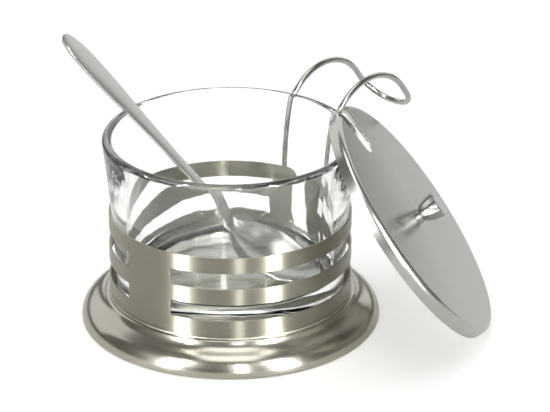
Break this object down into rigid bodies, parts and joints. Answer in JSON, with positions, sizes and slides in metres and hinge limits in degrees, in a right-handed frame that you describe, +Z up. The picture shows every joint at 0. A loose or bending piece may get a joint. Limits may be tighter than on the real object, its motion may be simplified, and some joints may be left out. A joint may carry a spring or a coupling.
{
  "type": "condiment server",
  "caption": "Glass condiment bowl in a steel stand with slotted band and wire handle, a loose notched lid with a knob, and a teaspoon.",
  "frame": {"origin": "the bowl's axis on the table", "axes": "+Z up; +Y from the bowl's axis towards the wire handle; +X to the right when looking along +Y"},
  "size_m": [0.1751, 0.1587, 0.1044],
  "materials": {
    "foot_steel": "satin",
    "band_steel": "satin",
    "wire_steel": "polished",
    "bowl_glass": "clear, polished",
    "lid_steel": "satin",
    "knob_chrome": "polished",
    "screw_steel": "plain",
    "spoon_steel": "satin with polished edges"
  },
  "bodies": {
    "holder": {"base_saucer": "foot_steel", "holder_band": "band_steel", "wire_handle": "wire_steel"},
    "glass": {"glass_bowl": "bowl_glass"},
    "lid": {"lid": "lid_steel", "lid_knob": "knob_chrome", "knob_screw": "screw_steel"},
    "spoon": {"spoon": "spoon_steel"}
  },
  "joints": [
    {"name": "glass_lift", "type": "slide", "parent": "holder", "child": "glass", "axis": [0, 0, 1], "range_m": [0, 0.05]},
    {"name": "lid_lift", "type": "slide", "parent": "glass", "child": "lid", "axis": [0, 0, 1], "range_m": [0, 0.1]},
    {"name": "spoon_lift", "type": "slide", "parent": "glass", "child": "spoon", "axis": [0, 0, 1], "range_m": [0, 0.06]}
  ]
}
